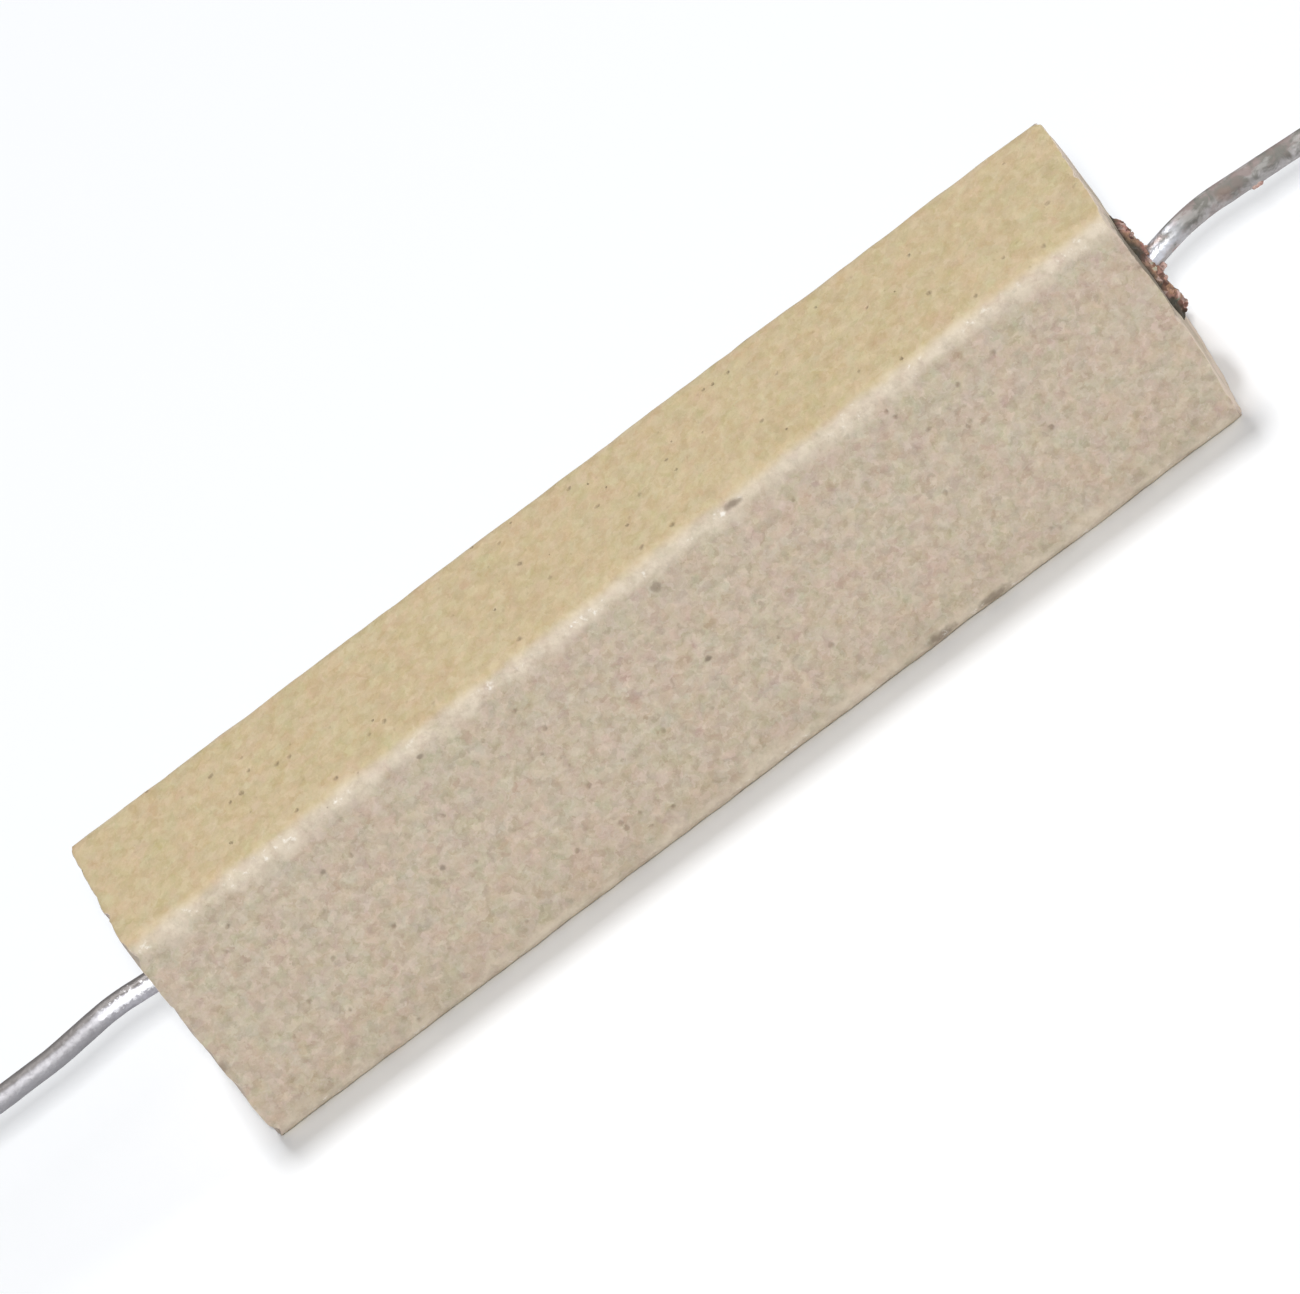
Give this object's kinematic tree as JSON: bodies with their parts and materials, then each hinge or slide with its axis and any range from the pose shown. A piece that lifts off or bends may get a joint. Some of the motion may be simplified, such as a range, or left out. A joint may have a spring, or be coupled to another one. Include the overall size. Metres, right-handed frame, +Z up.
{
  "type": "axial wirewound power resistor",
  "caption": "Axial power resistor: wirewound element potted in a square ceramic tube, with a bare tinned lead out of each end.",
  "frame": {"origin": "middle of the bottom face of the case, which is the bottom centre of the whole part's box", "axes": "+X along the body, towards the end whose plug stands out; +Z up; the face that the picture shows in front looks along -Y"},
  "size_m": [0.0992, 0.009, 0.009],
  "materials": {
    "ceramic": "matt sandy unglazed ceramic",
    "cement": "crumbly red-brown cement",
    "filling": "packed pale mineral",
    "glass_fibre": "bundled glass fibre",
    "resistance_alloy": "dull drawn wire",
    "cap_steel": "plated pressed steel",
    "tinned_copper": "hot-tinned wire"
  },
  "bodies": {
    "root": {"ceramic_case": "ceramic", "cement_plug_left": "cement", "cement_plug_right": "cement", "mineral_filling": "filling", "core_rod": "glass_fibre", "resistance_winding": "resistance_alloy", "end_cap_left": "cap_steel", "end_cap_right": "cap_steel", "lead_left": "tinned_copper", "lead_right": "tinned_copper"}
  },
  "joints": []
}
